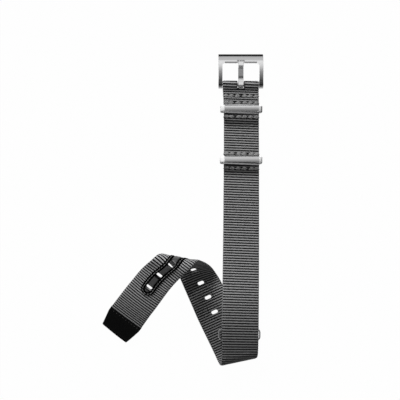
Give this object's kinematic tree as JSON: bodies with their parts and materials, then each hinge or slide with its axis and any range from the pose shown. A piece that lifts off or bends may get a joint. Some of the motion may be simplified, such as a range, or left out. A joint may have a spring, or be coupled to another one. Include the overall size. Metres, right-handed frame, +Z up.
{
  "type": "watch strap",
  "caption": "One-piece pass-through webbing watch strap with a spring-bar buckle, like steel keepers, leather-lined adjustment holes and a leather tip, lying folded.",
  "frame": {"origin": "middle of the footprint of the strap as it lies folded on a table, at table height", "axes": "+Z up from the table, +Y along the strap's long run towards the buckle, +X to the right as seen from above"},
  "size_m": [0.0916, 0.1758, 0.0256],
  "materials": {
    "webbing": "matte ribbed nylon webbing",
    "thread": "matte thick thread",
    "seam_thread": "matte fine thread",
    "lining_leather": "semi-gloss smooth leather",
    "tip_leather": "matte grained leather",
    "brushed_frame": "brushed",
    "bar_steel": "plain turned",
    "keeper_steel": "brushed front, polished sides"
  },
  "bodies": {
    "strap": {"main_strap": "webbing", "short_strap": "webbing", "hole_lining": "lining_leather", "tip_cap": "tip_leather", "stitch_row_1": "thread", "stitch_row_2": "thread", "stitch_row_3": "thread", "stitch_row_4": "thread", "stitch_row_5": "thread", "end_stitching": "thread", "lining_stitching": "seam_thread", "tip_stitching": "seam_thread"},
    "buckle": {"buckle_frame": "brushed_frame", "spring_bar_tube": "bar_steel", "spring_bar_spring": "bar_steel"},
    "tongue": {"buckle_tongue": "brushed_frame"},
    "plunger_left": {"spring_bar_plunger_left": "bar_steel"},
    "plunger_right": {"spring_bar_plunger_right": "bar_steel"},
    "keeper_one": {"keeper_first": "keeper_steel"},
    "keeper_two": {"keeper_second": "keeper_steel"},
    "keeper_three": {"keeper_end": "keeper_steel"}
  },
  "joints": [
    {"name": "buckle_swing", "type": "hinge", "parent": "strap", "child": "buckle", "pos_m": [0.03306, 0.07051, 0.0023], "axis": [1, 0, 0], "range_deg": [-35, 20]},
    {"name": "tongue_swing", "type": "hinge", "parent": "buckle", "child": "tongue", "pos_m": [0.03306, 0.07051, 0.0023], "axis": [1, 0, 0], "range_deg": [0, 90]},
    {"name": "plunger_left_push", "type": "slide", "parent": "buckle", "child": "plunger_left", "axis": [1, 0, 0], "range_m": [0, 0.0012], "stiffness_N_per_m": 400, "deforming": ["spring_bar_spring"]},
    {"name": "plunger_right_push", "type": "slide", "parent": "buckle", "child": "plunger_right", "axis": [-1, 0, 0], "range_m": [0, 0.0012], "stiffness_N_per_m": 400, "deforming": ["spring_bar_spring"]},
    {"name": "keeper_one_tilt", "type": "hinge", "parent": "strap", "child": "keeper_one", "pos_m": [0.03312, 0.05612, 0.00186], "axis": [1, -0.0093, 0], "range_deg": [-5, 5]},
    {"name": "keeper_two_tilt", "type": "hinge", "parent": "strap", "child": "keeper_two", "pos_m": [0.03285, 0.02683, 0.00416], "axis": [1, -0.0093, 0], "range_deg": [-5, 5]},
    {"name": "keeper_three_swing", "type": "hinge", "parent": "strap", "child": "keeper_three", "pos_m": [0.03198, -0.0673, 0.00676], "axis": [1, -0.0093, 0], "range_deg": [-20, 10]}
  ]
}
